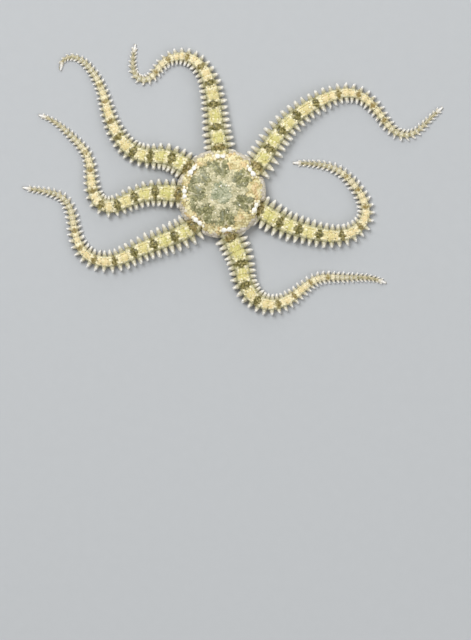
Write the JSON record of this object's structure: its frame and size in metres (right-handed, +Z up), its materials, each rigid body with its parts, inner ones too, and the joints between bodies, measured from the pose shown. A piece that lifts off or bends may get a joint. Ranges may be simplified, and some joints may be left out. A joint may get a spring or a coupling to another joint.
{
  "type": "brittle star",
  "caption": "Life-size brittle star lying mouth down, with a low round disc and long, tapering, spiny arms thrown into sinuous curves.",
  "frame": {"origin": "under the middle of the bounding box, on the surface that the animal lies on", "axes": "+Z up from that surface, through the animal's back; +X to the right of the picture, and +Y towards its top"},
  "size_m": [0.0496, 0.0322, 0.0033],
  "materials": {
    "disc": "satin, grey-green skin with fine scales",
    "mouth": "satin, cream with an orange-brown mouth",
    "base": "satin, yellow-green with olive bands",
    "inner": "satin, yellow-green with olive bands",
    "middle": "satin, cream-yellow with faint bands",
    "outer": "satin, cream-orange with faint bands",
    "tip": "satin, pale cream"
  },
  "bodies": {
    "root": {"disc": "disc", "mouth_frame": "mouth", "arm_1_base": "base", "arm_1_inner": "inner", "arm_1_middle": "middle", "arm_1_outer": "outer", "arm_1_tip": "tip", "arm_2_base": "base", "arm_2_inner": "inner", "arm_2_middle": "middle", "arm_2_outer": "outer", "arm_2_tip": "tip", "arm_3_base": "base", "arm_3_inner": "inner", "arm_3_middle": "middle", "arm_3_outer": "outer", "arm_3_tip": "tip", "arm_4_base": "base", "arm_4_inner": "inner", "arm_4_middle": "middle", "arm_4_outer": "outer", "arm_4_tip": "tip", "arm_5_base": "base", "arm_5_inner": "inner", "arm_5_middle": "middle", "arm_5_outer": "outer", "arm_5_tip": "tip", "arm_6_base": "base", "arm_6_inner": "inner", "arm_6_middle": "middle", "arm_6_outer": "outer", "arm_6_tip": "tip", "arm_7_base": "base", "arm_7_inner": "inner", "arm_7_middle": "middle", "arm_7_outer": "outer", "arm_7_tip": "tip"}
  },
  "joints": []
}
